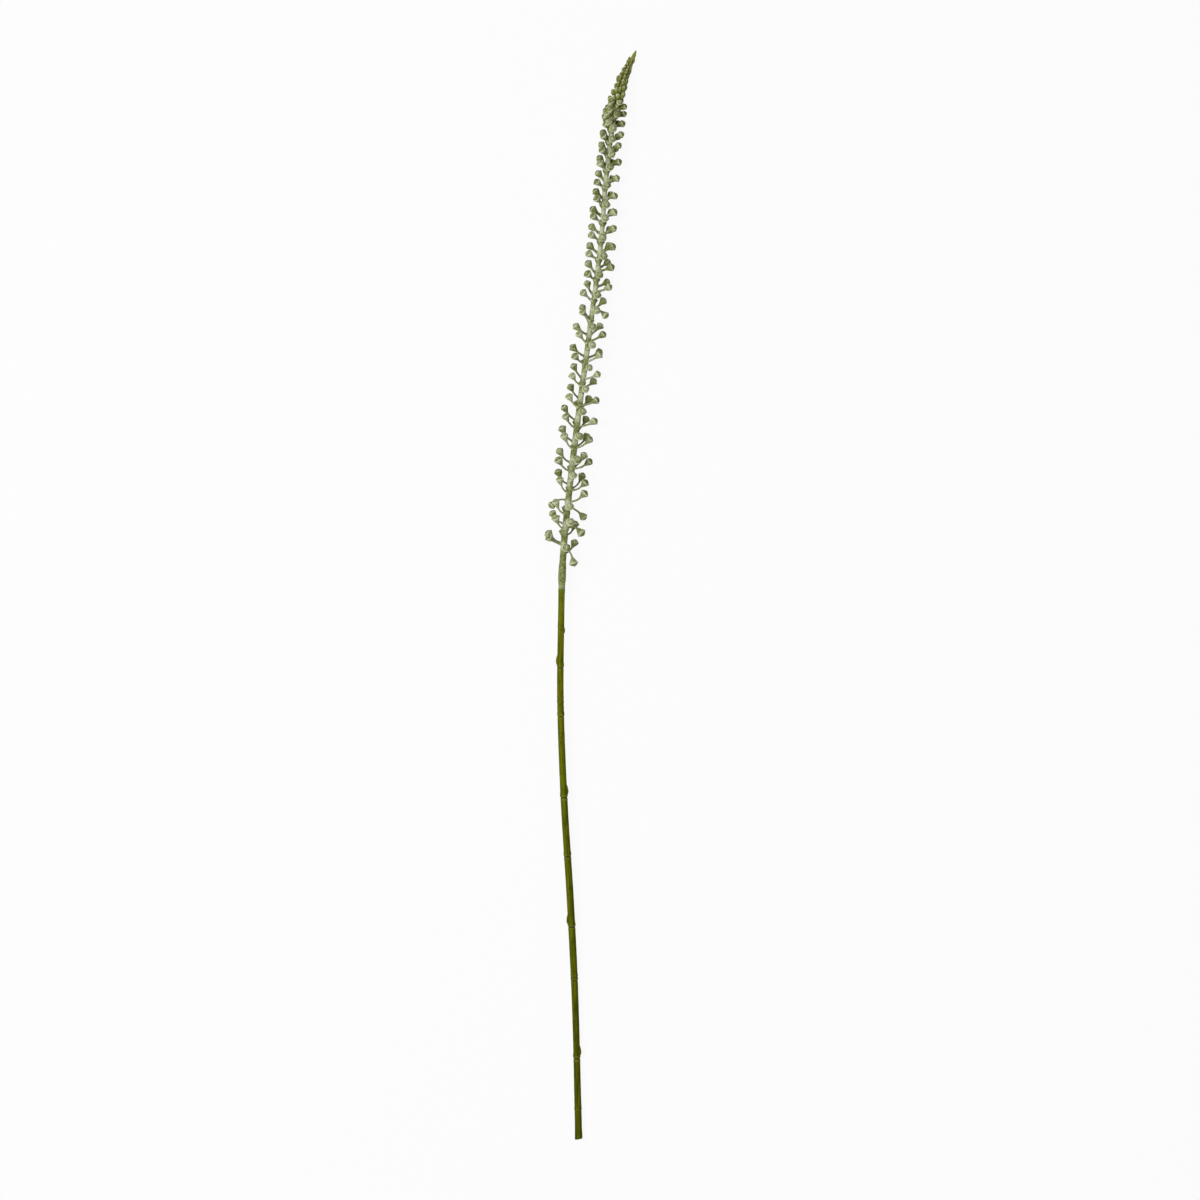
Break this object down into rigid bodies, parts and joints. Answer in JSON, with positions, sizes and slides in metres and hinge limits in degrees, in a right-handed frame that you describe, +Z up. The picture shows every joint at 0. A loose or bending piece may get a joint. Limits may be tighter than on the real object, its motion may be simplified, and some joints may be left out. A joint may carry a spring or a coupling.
{
  "type": "foxtail lily stem",
  "caption": "Long cut flower stem in bud, lying on its side: a ringed olive stalk, a frosted spike of stalked cup-shaped buds in whorls, and a pointed tip of packed buds.",
  "frame": {"origin": "middle of the stem's bounding box, on the surface that the stem lies on", "axes": "+Y from the cut end to the tip, +X to the right of the stem as seen from above, +Z up from the surface"},
  "size_m": [0.0916, 1.0918, 0.0371],
  "materials": {
    "stalk_olive": "smooth olive green, slightly waxy, darker towards the cut end",
    "frosted_green": "sage green under a pale powdery frosting that is thickest round the buds' rims and roots",
    "tip_green": "yellower green with a thin frosting, bare and olive at the point"
  },
  "bodies": {
    "root": {"bud_whorl_01": "frosted_green", "bud_whorl_02": "frosted_green", "bud_whorl_03": "frosted_green", "bud_whorl_04": "frosted_green", "bud_whorl_05": "frosted_green", "bud_whorl_06": "frosted_green", "bud_whorl_07": "frosted_green", "bud_whorl_08": "frosted_green", "bud_whorl_09": "frosted_green", "bud_whorl_10": "frosted_green", "bud_whorl_11": "frosted_green", "bud_whorl_12": "frosted_green", "bud_whorl_13": "frosted_green", "bud_whorl_14": "frosted_green", "bud_whorl_15": "frosted_green", "bud_whorl_16": "frosted_green", "bud_whorl_17": "frosted_green", "bud_whorl_18": "frosted_green", "bud_whorl_19": "frosted_green", "bud_whorl_20": "frosted_green", "bud_whorl_21": "frosted_green", "bud_whorl_22": "frosted_green", "bud_whorl_23": "frosted_green", "bud_whorl_24": "frosted_green", "bud_whorl_25": "frosted_green", "spike_neck": "frosted_green", "spike_tip": "tip_green", "stalk": "stalk_olive"}
  },
  "joints": []
}
